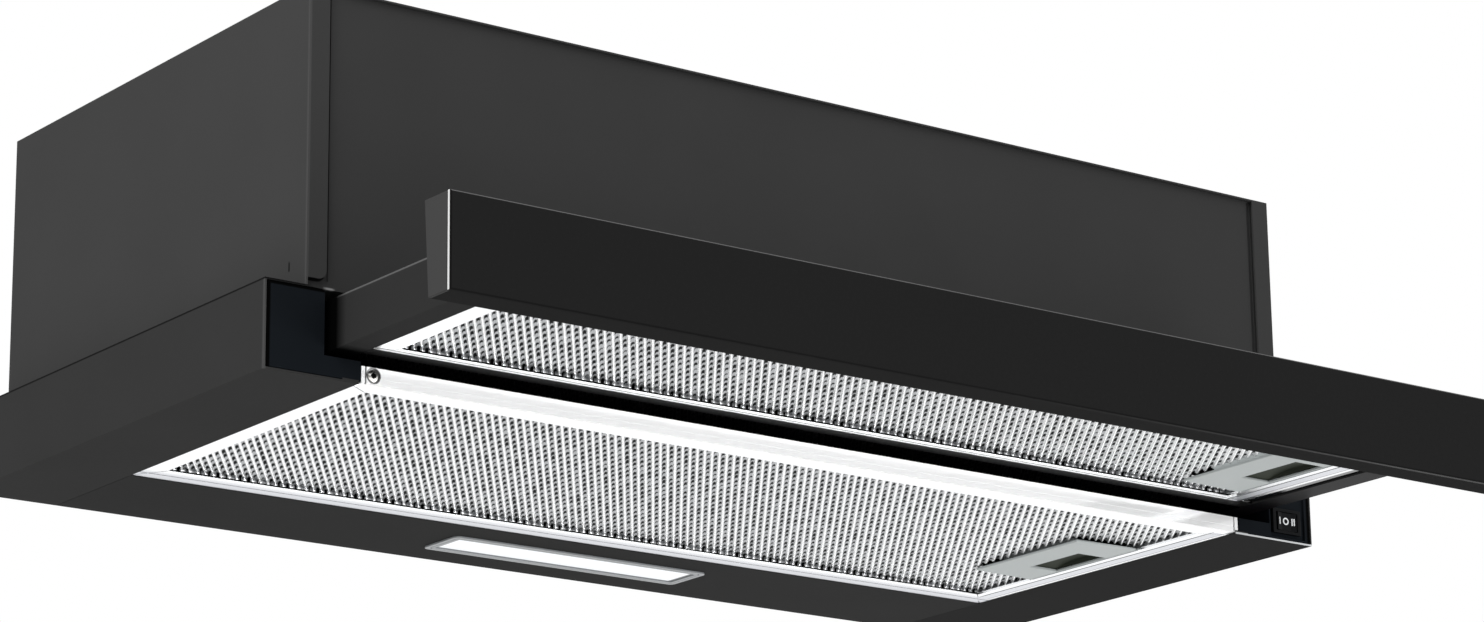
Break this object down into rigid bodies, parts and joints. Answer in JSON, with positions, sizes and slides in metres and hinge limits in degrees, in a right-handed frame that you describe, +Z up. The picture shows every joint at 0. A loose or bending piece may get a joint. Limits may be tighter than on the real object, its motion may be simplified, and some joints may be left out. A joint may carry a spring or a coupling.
{
  "type": "telescopic cooker hood",
  "caption": "Built-in cooker hood with a drawn-out visor, two swing-down aluminium grease filters, a light bar, a rocker switch and a top duct collar.",
  "frame": {"origin": "middle of the four cabinet screw holes, in the plane of the base's rim that lies against the cabinet", "axes": "+X to the right seen from the front, +Y to the back, +Z up; the visor is drawn out towards -Y"},
  "size_m": [0.6, 0.4075, 0.2099],
  "materials": {
    "aluminium_mesh": "bare expanded mesh",
    "anodised_aluminium": "bright anodised",
    "bezel_grey": "silver paint",
    "black_glass": "back painted, polished edges",
    "black_painted_steel": "black powder coat, satin",
    "black_plastic": "moulded, matt",
    "capacitor_case": "moulded, satin",
    "circuit_board": "white solder mask",
    "dark_grey_plastic": "moulded, matt",
    "diffuser": "opal",
    "gloss_black_steel": "black enamel, gloss",
    "grey_plastic": "moulded, satin",
    "motor_steel": "lacquered steel shell",
    "olive_plastic": "moulded, matt",
    "white_nylon": "moulded nylon",
    "zinc_plated_steel": "zinc plated"
  },
  "bodies": {
    "root": {"housing_shell": "black_painted_steel", "front_panel": "black_painted_steel", "rear_panel": "black_painted_steel", "base_side_left": "black_painted_steel", "base_side_right": "black_painted_steel", "light_panel": "black_painted_steel", "front_cap_left": "black_plastic", "front_cap_right": "black_plastic", "front_rail": "anodised_aluminium", "front_rail_screw": "zinc_plated_steel", "switch_body": "black_plastic", "light_bezel": "bezel_grey", "light_lens": "diffuser", "light_board": "circuit_board", "slide_rail_left": "zinc_plated_steel", "slide_rail_right": "zinc_plated_steel", "slide_rail_screws": "zinc_plated_steel", "blower_scroll_left": "black_plastic", "blower_scroll_right": "black_plastic", "scroll_clips": "zinc_plated_steel", "scroll_screws": "zinc_plated_steel", "motor": "motor_steel", "motor_bracket": "zinc_plated_steel", "motor_screws": "zinc_plated_steel", "inlet_guard": "black_plastic", "capacitor": "capacitor_case", "capacitor_clip": "zinc_plated_steel", "control_box": "black_plastic", "control_box_lid": "black_plastic", "terminal_block": "white_nylon", "cable_gland": "black_plastic", "cable_gland_nut": "black_plastic", "outlet_collar": "black_plastic", "collar_screws": "zinc_plated_steel", "flap_rod": "zinc_plated_steel"},
    "slide": {"arm_left": "black_painted_steel", "arm_right": "black_painted_steel", "glides_left": "white_nylon", "glides_right": "white_nylon", "slide_tray": "gloss_black_steel", "visor_body": "black_painted_steel", "visor_front_plate": "black_glass", "visor_end_left": "dark_grey_plastic", "visor_end_right": "dark_grey_plastic", "visor_screws": "zinc_plated_steel"},
    "filter_1": {"filter_1_frame": "anodised_aluminium", "filter_1_mesh": "aluminium_mesh", "filter_1_latch_plate": "grey_plastic"},
    "catch_1": {"filter_1_catch": "olive_plastic"},
    "filter_2": {"filter_2_frame": "anodised_aluminium", "filter_2_mesh": "aluminium_mesh", "filter_2_latch_plate": "grey_plastic"},
    "catch_2": {"filter_2_catch": "olive_plastic"},
    "rocker": {"rocker": "black_plastic"},
    "impeller": {"impeller": "black_plastic", "motor_shaft": "zinc_plated_steel"},
    "flap_front": {"flap_front": "black_plastic"},
    "flap_rear": {"flap_rear": "black_plastic"}
  },
  "joints": [
    {"name": "slide_travel", "type": "slide", "parent": "root", "child": "slide", "axis": [0, 1, 0], "range_m": [0, 0.122]},
    {"name": "filter_1_swing", "type": "hinge", "parent": "root", "child": "filter_1", "pos_m": [-0.253, -0.033, -0.039], "axis": [0, -1, 0], "range_deg": [-60, 0]},
    {"name": "catch_1_travel", "type": "slide", "parent": "filter_1", "child": "catch_1", "axis": [-1, 0, 0], "range_m": [0, 0.006], "stiffness_N_per_m": 300, "springref_m": -0.003},
    {"name": "filter_2_swing", "type": "hinge", "parent": "slide", "child": "filter_2", "pos_m": [-0.2542, -0.2, -0.0269], "axis": [0, -1, 0], "range_deg": [-60, 0]},
    {"name": "catch_2_travel", "type": "slide", "parent": "filter_2", "child": "catch_2", "axis": [-1, 0, 0], "range_m": [0, 0.006], "stiffness_N_per_m": 300, "springref_m": -0.003},
    {"name": "rocker_tilt", "type": "hinge", "parent": "root", "child": "rocker", "pos_m": [0.2832, -0.1287, -0.0293], "axis": [0, 0, 1], "range_deg": [-9, 9]},
    {"name": "impeller_spin", "type": "hinge", "parent": "root", "child": "impeller", "pos_m": [0, -0.021, 0.0645], "axis": [1, 0, 0], "continuous": true},
    {"name": "flap_front_swing", "type": "hinge", "parent": "root", "child": "flap_front", "pos_m": [0, 0.037, 0.1383], "axis": [-1, 0, 0], "range_deg": [0, 80]},
    {"name": "flap_rear_swing", "type": "hinge", "parent": "root", "child": "flap_rear", "pos_m": [0, 0.037, 0.1383], "axis": [1, 0, 0], "range_deg": [0, 80]}
  ]
}
